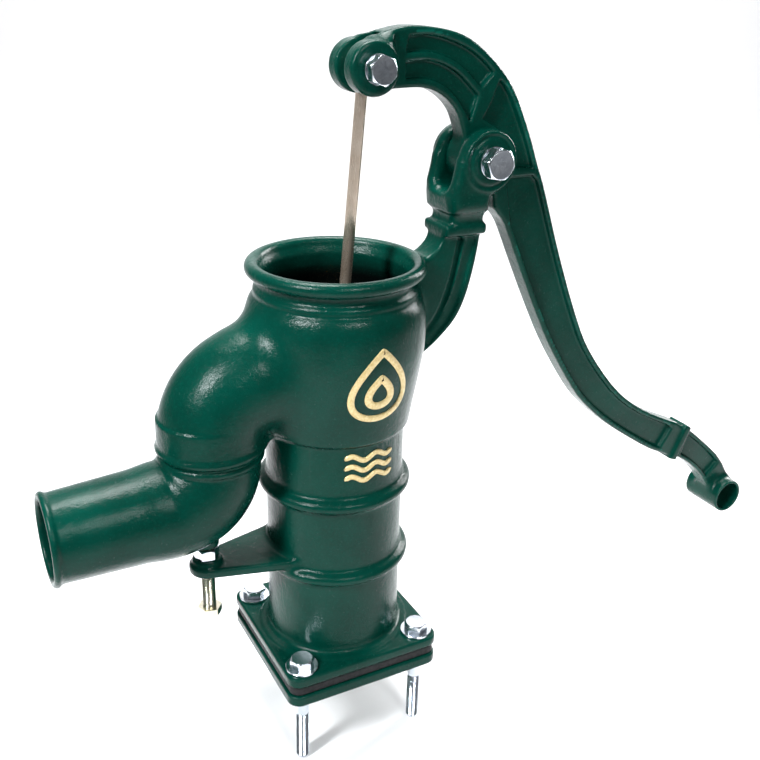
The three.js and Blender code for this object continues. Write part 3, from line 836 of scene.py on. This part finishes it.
def gasket():
    low, high = GASKET_LOW, GASKET_HIGH
    grid = Grid(low, high, 1.2)
    outline = cut(flange_outline(grid, 146, 10), circle(grid.x, grid.y, (0, 0), 53), 0.5)
    sheet = slab(outline, grid.z, (high[2] - low[2]) / 2, 1.4, (high[2] + low[2]) / 2)
    return field_mesh("flange_gasket_sheet", grid, drilled(sheet, grid), 60000)


fit(base_flange(), "enamel", "pump", "base_flange")
fit(gasket(), "rubber", "pump", "flange_gasket")

# ---- Spout elbow and its joint ring ----


def spout_elbow():
    low, high = span("spout_elbow")
    grid = Grid(low, high, 1.3)
    centre = (-158, 232)
    turn = OUTLET_AXIS - centre[0]
    mouth = (low[0] + 0.4, 183.5)
    top = 233.4

    def bent(tube):
        dx, dz = grid.x - centre[0], grid.z - centre[1]
        phi = np.clip(np.arctan2(dz, dx), -math.pi / 2, 0)
        px, pz = centre[0] + turn * np.cos(phi), centre[1] + turn * np.sin(phi)
        away = np.sqrt((grid.x - px) ** 2 + grid.y**2 + (grid.z - pz) ** 2)
        return away - tube(-phi / (math.pi / 2))

    def barrel_of(tube, reach):
        return straight(grid, (centre[0], centre[1] - turn), (mouth[0] - reach, mouth[1]), tube)

    outer = merge(bent(lambda t: 40.4 + 4 * np.sin(math.pi * t)), barrel_of(lambda t: 40.4 - 3.6 * t, 0), 6)
    ends = np.maximum(grid.z - top, mouth[0] - grid.x)
    outer = cut(outer, -ends, 1.5)
    top_bead = np.hypot(circle(grid.x, grid.y, (OUTLET_AXIS, 0), 40.9), grid.z - top + 3) - 3
    lip = upright(grid, OUTLET_AXIS, 42, 2.6, 1.2, top - 2.6)
    outer = merge(merge(outer, lip, 3), top_bead, 2)
    end_bead = np.hypot(np.hypot(grid.y, grid.z - mouth[1]) - 36.6, grid.x - mouth[0] - 2.7) - 2.6
    spigot = upright(grid, OUTLET_AXIS, 34, 10, 1, 242)
    pad = upright(grid, SET_BOLT_X, 11, 8, 1.2, SET_BOLT_HIGH[2] + 8.3)
    outer = merge(merge(merge(outer, end_bead, 2.5), spigot, 1), pad, 5)
    passage = merge(bent(lambda t: 33.4), barrel_of(lambda t: 33.4 - 0.6 * t, 4), 4)
    neck = upright(grid, OUTLET_AXIS, 29, 14, 0.5, 246)
    piece = field_mesh("spout_elbow_casting", grid, cut(outer, merge(passage, neck, 4), 2), 150000)

    # Depth for the painted shade in the spout: none at its mouth, full 22 mm in.
    def depth(x, y, z):
        inside = np.hypot(y, z - mouth[1]) < 34.2
        return inside * np.clip((x - mouth[0]) / 22, 0, 1)

    return store_painted_shade_depth(piece, depth)


def joint_ring():
    low, high = span("spout_gasket")
    return ring("spout_joint_ring", 34.4, 42, low[2], high[2], 0.8, (OUTLET_AXIS, 0, 0))


fit(spout_elbow(), "enamel", "spout", "spout_elbow")
fit(joint_ring(), "rubber", "pump", "spout_gasket")

# ---- Lever ----

# Edges of the lever, as X and Z: its arc over the pump, its long arm, and the neck before the grip.
ARC_TOP = [
    (22.5, 555.4), (53, 564.4), (88, 562.4), (115, 554), (140, 536), (160, 514), (178, 480), (190, 452),
]
ARM_OUTER = [(190, 452), (201, 427), (223, 370), (250, 308), (275, 262), (318, 211), (361, 179), (414, 153)]
NECK_OUTER = [(414, 151), (430, 143), (456, 123), (492, 91), (517, 54)]
ARC_INNER = [(33, 517.5), (57, 518.5), (72, 518), (85, 514), (97, 506), (106, 495), (112, 479)]
ARM_INNER = [
    (153, 409), (162, 397), (180, 360), (201, 318), (225, 274),
    (258, 225), (282, 198), (318, 168), (372, 132), (398, 119),
]
NECK_INNER = [(400, 117), (414, 112), (434, 102), (463, 78), (484, 50)]
HEEL = [(148, 415), (143, 433), (122, 440), (112, 452), (111, 463)]
GRIP = (500, 45.7)


def lever_outline():
    outer = spline(ARC_TOP, 26) + spline(ARM_OUTER, 26)[1:] + spline(NECK_OUTER, 10)[1:]
    inner = spline(ARM_INNER, 30) + spline(NECK_INNER, 10)[1:]
    return outer + inner[::-1] + spline(HEEL, 8) + spline(ARC_INNER, 18)[::-1]


def pocket(grid, outline, web, rounding=3):
    """Recess of both faces down to a web, its corners rounded."""
    shape = polygon(grid.x, grid.z, outline) + rounding
    return np.maximum(shape - rounding, web - np.abs(grid.y))


def lever_pockets():
    """Outlines of the recesses: two in the arc, one beside the fulcrum, one down the arm, one in the neck."""
    first = spline([(57, 557), (72, 558), (90, 555), (112, 547), (128, 536.5), (137, 528.5)], 14)
    second = spline([(54.5, 545), (75, 545.6), (92, 541.5), (107, 534), (118, 525), (126, 517.5)], 14)
    third = spline([(54.8, 538.5), (74, 539), (89, 535.5), (103, 528.5), (114, 519.5), (123.5, 510.5)], 14)
    fourth = spline([(55.5, 525.5), (72, 525.6), (87, 521.5), (100, 513), (109.5, 502.5), (117, 490)], 14)
    yield first + second[::-1]
    yield third + fourth[::-1]
    fx, fz = FULCRUM
    hub = [(fx + 29 * math.cos(a), fz + 29 * math.sin(a)) for a in np.radians(np.arange(-15, 80, 12))]
    outer_rim = offset(spline([(148, 527), (160, 514), (178, 480), (191, 450)], 8), -6)
    yield outer_rim + [(164, 450)] + hub + [(130, 492), (138, 506)]
    outer = offset(spline(ARM_OUTER, 20), -5.5)[1:]
    inner = offset(spline(ARM_INNER[1:], 20), 5.5)[:-1]
    yield [(186, 441), *outer[1:-1], (404, 149), (392, 128)] + inner[::-1] + [(158, 441)]
    outer = offset(spline([(436, 138), (456, 123), (478, 104), (492, 90)], 8), -4.5)
    inner = offset(spline([(424, 107.5), (434, 102), (455, 86), (470, 70)], 8), 4.5)
    yield outer + inner[::-1]


def handle_lever():
    low, high = span("handle_lever")
    grid = Grid(low, high, 1.35)
    x, y, z = grid.x, grid.y, grid.z
    shape = slab(polygon(x, z, lever_outline()), y, 10.5, 3)
    for outline in lever_pockets():
        shape = cut(shape, pocket(grid, outline, 5.2), 2.2)
    shape = merge(shape, slab(circle(x, z, FULCRUM, 22), y, 11, 1), 2)
    block = polygon(x, z, [(24, 514.3), (38, 518), (42, 535), (40, 557), (24, 555.2)])
    shape = merge(shape, slab(block, y, 17, 4.5), 8)
    shape = merge(shape, slab(circle(x, z, CLEVIS, 20.8), y, 22, 3.4), 5)
    band = polygon(x, z, [(407, 111.5), (416, 107.5), (433, 144.5), (424.5, 150)])
    shape = merge(shape, slab(band, y, 14, 2.6), 2.5)
    tube = slab(circle(x, z, GRIP, 19.5), y, 24, 1.4)
    shape = merge(shape, tube, 8)
    shape = cut(shape, circle(x, z, GRIP, 16.3), 1.2)
    shape = cut(shape, circle(x, z, FULCRUM, 8.3))
    shape = cut(shape, slab(circle(x, z, CLEVIS, 27), y, 6.5), 1.5)
    shape = cut(shape, circle(x, z, CLEVIS, 7.3))
    return field_mesh("lever_casting", grid, shape, 180000)


fit(handle_lever(), "enamel", "lever", "handle_lever")

# ---- Fasteners ----


def bolt(name, place, facing, flats, radius, head, shank_end, thread_start, pitch):
    """Hexagon bolt: head = (underside, top), then a plain shank and a threaded length to its pointed end."""
    low, high = head
    sign = 1 if high > low else -1
    rows = [
        (height * sign, lambda angle, z, shape=shape: shape(angle, z * sign))
        for height, shape in hex_rows(flats, low * sign, high * sign)
    ]
    crown = [(high - 0.05 * sign, flats / 2 * 0.9)]
    head_piece = turned(f"{name}_head", rows + crown, place, facing, sides=96)
    start, end = sorted((thread_start, shank_end))
    threads = turned(f"{name}_thread", thread_rows(radius, pitch, start, end), place, facing, sides=32)
    tip_rows = [(shank_end, radius - 0.7 * pitch), (shank_end - 1.2 * sign, radius - 1.1 * pitch)]
    tip = turned(f"{name}_tip", tip_rows, place, facing, sides=32)
    shank_rows = [
        (low + 0.5 * sign, radius), (thread_start, radius), (thread_start - 0.8 * sign, radius - 0.5 * pitch),
    ]
    shank = turned(f"{name}_shank", shank_rows, place, facing, sides=40)
    return join(name, [head_piece, threads, tip, shank])


def nut(name, place, facing, flats, radius, bottom, top):
    """Hexagon nut with chamfered corners and a countersunk bore."""
    rows = hex_rows(flats, bottom, top, both_ends=True)
    bore = [(top, radius + 1), (top - 0.9, radius + 0.3), (bottom + 0.9, radius + 0.3), (bottom, radius + 1)]
    return turned(name, rows + bore, place, facing, sides=96, capped=False)


def spring_washer(name, place, facing, inner, outer, bottom, top):
    """Split washer: one turn of a square bar with a gap, its ends sprung apart a little."""
    steps = 72
    thickness = (top - bottom) * 0.8
    rise = (top - bottom) - thickness
    vertices, faces = [], []
    for i in range(steps + 1):
        angle = math.radians(-60 + 4 + 352 * i / steps)
        base = bottom + rise * i / steps
        for r, h in ((inner, 0.2), (inner + 0.2, 0), (outer - 0.3, 0), (outer, 0.3), (outer, thickness - 0.3),
                     (outer - 0.3, thickness), (inner + 0.2, thickness), (inner, thickness - 0.2)):
            point = Vector((r * math.cos(angle), r * math.sin(angle), base + h))
            vertices.append((facing @ point + Vector(place)) * MM)
    for i in range(steps):
        for k in range(8):
            a, b = i * 8 + k, i * 8 + (k + 1) % 8
            faces.append((a, b, b + 8, a + 8))
    faces.append(tuple(range(8))[::-1])
    faces.append(tuple(range(steps * 8, steps * 8 + 8)))
    piece = mesh_piece(name, vertices, [f[::-1] for f in faces])
    smooth(piece, 30)
    return piece


def flange_fasteners():
    for i, (x, y) in enumerate(BOLT_CENTRES, 1):
        low, high = span(f"flange_bolt_{i}")
        washer_low, washer_high = span(f"flange_washer_{i}")
        head_low = washer_high[2] + GAP
        turn = Matrix.Rotation(math.radians((21, 50, 5, 8)[i - 1]), 3, "Z")
        thread_start = low[2] + (52 if low[2] < -20 else 26)
        head = (head_low, high[2])
        piece = bolt(
            f"flange_bolt_{i}_piece", (x, y, 0), turn, M12_FLATS, M12_RADIUS, head,
            low[2] + 1.2, thread_start, M12_PITCH,
        )
        fit(piece, "zinc", "pump", f"flange_bolt_{i}")
        bottom, top = washer_low[2], washer_high[2]
        washer = ring(f"flange_washer_{i}_piece", 6.4, 14.6, bottom, top, 0.4, (x, y, 0), UPRIGHT, 72)
        fit(washer, "zinc", "pump", f"flange_washer_{i}")


def set_bolt():
    x, low, high = SET_BOLT_X, SET_BOLT_LOW[2], SET_BOLT_HIGH[2]
    turn = Matrix.Rotation(math.radians(20), 3, "Z")
    head = (low + 7.5, low)
    piece = bolt(
        "spout_set_bolt_piece", (x, 0, 0), turn, M12_FLATS, M12_RADIUS, head, high - 1.2, low + 9, M12_PITCH,
    )
    fit(piece, "yellow_zinc", "set_bolt", "spout_set_bolt")
    nut_low, nut_high = span("spout_set_nut")
    collar = nut("spout_set_nut_piece", (x, 0, 0), turn, M12_FLATS, M12_RADIUS, nut_low[2], nut_high[2])
    fit(collar, "zinc", "pump", "spout_set_nut")


def pivot_bolt(name, body, centre, radius, flats, degrees, pitch):
    """Cross bolt: head in front, spring washer under it, nut behind. Heights run towards the front."""
    place = (centre[0], 0, centre[1])
    facing = FACING_FRONT @ Matrix.Rotation(math.radians(degrees), 3, "Z")
    low, high = span(f"{name}_bolt")
    washer_low, washer_high = span(f"{name}_spring_washer")
    nut_low, nut_high = span(f"{name}_nut")
    head = (-washer_low[1] + GAP, -low[1])
    shank_end, thread_start = -high[1] + 1.2, -nut_low[1] + 2
    piece = bolt(f"{name}_bolt_piece", place, facing, flats, radius, head, shank_end, thread_start, pitch)
    fit(piece, "zinc", body, f"{name}_bolt")
    washer = spring_washer(
        f"{name}_spring_washer_piece", place, facing, radius + 0.4, radius * 1.65,
        -washer_high[1], -washer_low[1],
    )
    fit(washer, "zinc", body, f"{name}_spring_washer")
    back = nut(f"{name}_nut_piece", place, facing, flats, radius, -nut_high[1], -nut_low[1])
    fit(back, "zinc", body, f"{name}_nut")


flange_fasteners()
set_bolt()
pivot_bolt("fulcrum", "pump", FULCRUM, 8, 24, 20, 2)
pivot_bolt("clevis", "lever", CLEVIS, 7, 21, 10, 2)

# ---- Rod and its nuts ----

ROD_FOOT = 250
ROD_TILT = Matrix.Rotation(math.atan2(CLEVIS[0], CLEVIS[1] - ROD_FOOT), 3, "Y")


def piston_rod():
    """Drawn rod with a forged eye, threaded at its foot. Heights are below the clevis pin."""
    place = (CLEVIS[0], 0, CLEVIS[1])
    drop = CLEVIS[1] - ROD_FOOT
    shank_rows = [(-drop + 18, 4.3), (-drop + 19, 4.8), (-17, 4.8), (-13.5, 5.4), (-11, 5.5)]
    shank = turned("rod_shank", shank_rows, place, ROD_TILT, sides=40)
    threads = turned("rod_thread", thread_rows(4.8, 1.5, -drop - 18, -drop + 18.5), place, ROD_TILT, sides=28)
    tip = turned("rod_tip", [(-drop - 19, 3.4), (-drop - 18, 4)], place, ROD_TILT, sides=28)
    eye = ring("rod_eye", 7.3, 14, -5.8, 5.8, 1.2, place, FACING_FRONT, 56)
    return join("piston_rod_piece", [shank, threads, tip, eye])


def rod_nuts():
    place = (CLEVIS[0], 0, CLEVIS[1])
    foot = ROD_FOOT - CLEVIS[1]
    for node, bottom, height in (("rod_collar_nut", foot + 7.5, 6), ("rod_foot_nut", foot - 14.5, 7)):
        piece = nut(f"{node}_piece", place, ROD_TILT, 16, 4.8, bottom, bottom + height)
        fit(piece, "brass", "rod", node)


fit(piston_rod(), "rod_steel", "rod", "piston_rod")
rod_nuts()

# ---- Foot valve and piston ----


def disc(grid, x, radius, low, high, rounding=0.5):
    """Upright round plate between two heights."""
    return upright(grid, x, radius, (high - low) / 2, rounding, (high + low) / 2)


def foot_valve():
    low, high = span("foot_clack")
    pin_x, pin_z = pivot("foot_clack_lift")
    grid = Grid(low, high, 0.8)
    plate = disc(grid, 0, 24, low[2], low[2] + 4.7, 1)
    weight = disc(grid, -2, 15, low[2] + 3, high[2], 1.6)
    arm = slab(rounded_box(grid.x, grid.z, (8, low[2]), (pin_x, low[2] + 6.5), 1), grid.y, 6, 1)
    knuckle = slab(circle(grid.x, grid.z, (pin_x, pin_z), 5), grid.y, 7.5, 0.6)
    shape = merge(merge(merge(plate, weight, 3), arm, 2), knuckle, 3)
    shape = cut(shape, circle(grid.x, grid.z, (pin_x, pin_z), 2.3))
    shape = cut(shape, circle(grid.x, grid.y, (-2, 0), 3.3), 0.5)
    fit(field_mesh("foot_clack_casting", grid, shape, 40000), "cast_iron", "clack", "foot_clack")

    low, high = span("foot_clack_leather")
    sheet = ring("foot_clack_leather_disc", 4.6, 25, low[2], high[2], 0.6)
    fit(sheet, "leather", "clack", "foot_clack_leather")

    low, high = span("foot_clack_screw")
    bottom, top = low[2], high[2]
    rows = [
        (bottom, 2.4), (bottom + 0.6, 3), (top - 2.7, 3), (top - 2.7, 5.6),
        (top - 1.2, 6), (top - 0.3, 4.6), (top, 2.2),
    ]
    screw = turned("foot_clack_screw_piece", rows, (-2, 0, 0), sides=40)
    fit(screw, "brass", "clack", "foot_clack_screw")

    half = span("foot_clack_pin")[1][1]
    rows = [(-half, 1.5), (-half + 0.5, 2), (half - 0.5, 2), (half, 1.5)]
    pin = turned("foot_clack_pin_piece", rows, (pin_x, 0, pin_z), FACING_FRONT, sides=32)
    fit(pin, "brass", "pump", "foot_clack_pin")


def piston():
    low, high = span("piston_stirrup")
    grid = Grid(low, high, 0.9)
    foot = disc(grid, 0, 44, low[2], low[2] + 5.7, 1)
    foot = cut(foot, circle(grid.x, grid.y, (0, 0), 27), 0.8)
    bar = slab(rounded_box(grid.x, grid.z, (-33, high[2] - 8), (33, high[2]), 2), grid.y, 9, 2)
    leg = slab(rounded_box(np.abs(grid.x), grid.z, (27, low[2] + 1), (33, high[2] - 1), 1.5), grid.y, 9, 2)
    shape = merge(merge(bar, leg, 6), foot, 4)
    slot = slab(rounded_box(grid.x, grid.y, (-18, -5.3), (18, 5.3), 5.2), grid.z, 12, 0.5, high[2] - 4)
    stirrup = field_mesh("piston_stirrup_casting", grid, cut(shape, slot, 1), 60000)
    fit(stirrup, "brass", "piston", "piston_stirrup")

    low, high = span("piston_cup_leather")
    bottom, top = low[2], high[2]
    rows = [
        (bottom, 27.2), (bottom, 50), (bottom + 2, 52), (top - 2, 52.2), (top, 50.5), (top, 48.6),
        (bottom + 8, 46.6), (bottom + 5.7, 45), (bottom + 5.7, 27.2),
    ]
    cup = turned("piston_cup", rows, (0, 0, 0), sides=96, capped=False)
    fit(cup, "leather", "piston", "piston_cup_leather")

    low, high = span("piston_seat")
    bottom, top = low[2], high[2]
    rows = [
        (bottom, 17), (bottom, 45), (bottom + 1, 46), (bottom + 9, 46), (bottom + 10, 45),
        (bottom + 10, 26.5), (top - 0.8, 26.4), (top, 25.6), (top, 17.6), (top - 0.6, 17),
    ]
    seat = turned("piston_seat_ring", rows, (0, 0, 0), sides=96, capped=False)
    fit(seat, "brass", "piston", "piston_seat")

    low, high = span("piston_valve_disc")
    sheet = ring("piston_valve_sheet", 4.1, 24, low[2], high[2], 0.6)
    fit(sheet, "rubber", "piston_valve", "piston_valve_disc")

    low, high = span("piston_valve_weight")
    bottom, top = low[2], high[2]
    rows = [
        (bottom, 2.8), (bottom + 0.8, 3.6), (top - 4.7, 3.6), (top - 4.7, 15.4), (top - 4.1, 16),
        (top - 1.4, 16), (top - 0.4, 14), (top, 9),
    ]
    weight = turned("piston_valve_weight_piece", rows, (0, 0, 0), sides=64)
    fit(weight, "brass", "piston_valve", "piston_valve_weight")


foot_valve()
piston()

# ---- Gold relief on the front of the casting ----


def surface_radius(z):
    """Radius of the barrel or bowl outside at a height."""
    heights = [BAND_HEIGHTS[1], 240, 243] + [point[1] for point in BOWL]
    radii = [BARREL, BARREL, 64.4] + [point[0] for point in BOWL]
    return float(np.interp(z, heights, radii))


def wrapped(s, z, lift, turn):
    """Point at a distance s round the body from a turn in radians, and a height, lifted off the surface."""
    r = surface_radius(z)
    angle = turn + s / r
    slope = (surface_radius(z + 1) - surface_radius(z - 1)) / 2
    out = lift / math.hypot(1, slope)
    reach = r + out
    return Vector((reach * math.sin(angle), -reach * math.cos(angle), z - slope * out)) * MM


# Section of the raised strips: share of half the width, and lift in millimetres.
SECTION = [(-1.0, -0.8), (-1.0, 0.8), (-0.72, 1.35), (0.72, 1.35), (1.0, 0.8), (1.0, -0.8)]


def relief_strip(name, path, width, turn, closed):
    """Raised strip that follows a path of (s, z) points on the body."""
    p = np.array(path)
    along = np.gradient(p, axis=0)
    if closed:
        along = np.roll(p, -1, axis=0) - np.roll(p, 1, axis=0)
    along /= np.linalg.norm(along, axis=1)[:, None]
    side = np.stack([along[:, 1], -along[:, 0]], axis=1)
    vertices, faces = [], []
    size = len(SECTION)
    for i, (q, n) in enumerate(zip(p, side)):
        taper = 1 if closed else min(1, 0.35 + min(i, len(p) - 1 - i) / 4)
        for across, lift in SECTION:
            s, z = q + n * across * width / 2 * taper
            vertices.append(wrapped(s, z, lift, turn))
    count = len(p) if closed else len(p) - 1
    for i in range(count):
        for k in range(size):
            a, b = i * size + k, i * size + (k + 1) % size
            j = (i + 1) % len(p) * size
            faces.append((a, b, j + (k + 1) % size, j + k))
    if not closed:
        faces.append(tuple(range(size))[::-1])
        faces.append(tuple(range((len(p) - 1) * size, len(p) * size)))
    piece = mesh_piece(name, vertices, faces)
    smooth(piece, 40)
    return piece


def drop_outline(centre, height, count=64):
    """Water drop: round below, drawn to a point on top."""
    points = []
    for t in np.linspace(0, 2 * math.pi, count, endpoint=False):
        across = math.sin(t) * math.sin(t / 2)
        points.append((centre[0] + 0.54 * height * across, centre[1] + 0.5 * height * math.cos(t)))
    return points


def emblem():
    """A plain water drop in a rounded frame, and two waves below it."""
    turn = math.radians(4)
    strips = [
        relief_strip("drop_frame", drop_outline((0, 299), 60), 5.6, turn, True),
        relief_strip("drop_core", drop_outline((0, 293.5), 25), 6.4, turn, True),
    ]
    for level in (230, 220.5, 211):
        wave = [(s, level + 2.4 * math.sin(s / 3.6)) for s in np.linspace(-23, 23, 60)]
        strips.append(relief_strip(f"wave_{level:.0f}", wave, 4.4, turn, False))
    return join("gold_relief", strips)


fit(emblem(), "gold_paint", "pump")

# ---- Floor and light ----

FLOOR = span("flange_bolt_1")[0][2] * MM - 0.0005


def plain_material(name, colour, roughness):
    n = Nodes(name)
    n.drive(Base_Color=n.ramp(n.noise(300, 2), [(0.3, colour), (0.7, tuple(c * 0.985 for c in colour))]))
    n.value(Roughness=roughness)
    return n.material


def backdrop():
    """Pale floor that curves up into a wall behind."""
    depth, width, rise, curve = 3.2, 7.0, 3.2, 0.9
    profile = [(-4.5, 0), (depth - curve, 0)]
    angles = np.linspace(0.1, math.pi / 2, 12)
    profile += [(depth - curve + curve * math.sin(a), curve - curve * math.cos(a)) for a in angles]
    profile.append((depth, rise))
    vertices = [(x, y, z + FLOOR) for y, z in profile for x in (-width, width)]
    faces = [(2 * i, 2 * i + 1, 2 * i + 3, 2 * i + 2) for i in range(len(profile) - 1)]
    floor = mesh_piece("backdrop", vertices, faces)
    floor.data.shade_smooth()
    floor.rotation_euler[2] = AZIMUTH
    floor.data.materials.append(plain_material("pale_floor", (0.86, 0.86, 0.87), 0.75))


def area_light(name, place, aim, size, power, spread=180, colour=(1, 1, 1)):
    data = bpy.data.lights.new(name, "AREA")
    data.shape = "RECTANGLE"
    data.size, data.size_y = size
    data.energy = power
    data.color = colour
    data.spread = math.radians(spread)
    light = link(name, data)
    light.location = place
    light.rotation_euler = (Vector(aim) - Vector(place)).to_track_quat("-Z", "Y").to_euler()


def lighting():
    aim = (0.05, 0, 0.28)
    area_light("key_left", (-1.4, -0.5, 1.5), aim, (0.25, 0.7), 8.5, 70, (0.95, 0.98, 1.0))
    area_light("front_fill", (0.1, -2.0, 1.9), aim, (0.6, 0.25), 2.6, 60)
    area_light("top_strip", (0.1, 0.5, 2.1), aim, (1.1, 0.35), 17, 100)
    area_light("right_rim", (1.9, 0.5, 0.9), aim, (0.4, 1.1), 9, 80)
    area_light("wall_wash", (0.6, 1.2, 2.6), (1.3, 2.6, 0.6), (2.5, 0.6), 105)
    world = bpy.data.worlds.new("studio")
    world.use_nodes = True
    sky = world.node_tree.nodes["Background"].inputs
    sky["Color"].default_value = (0.95, 0.97, 1.0, 1)
    sky["Strength"].default_value = 0.12
    bpy.context.scene.world = world
    bpy.context.scene.view_settings.view_transform = "Standard"


backdrop()
lighting()
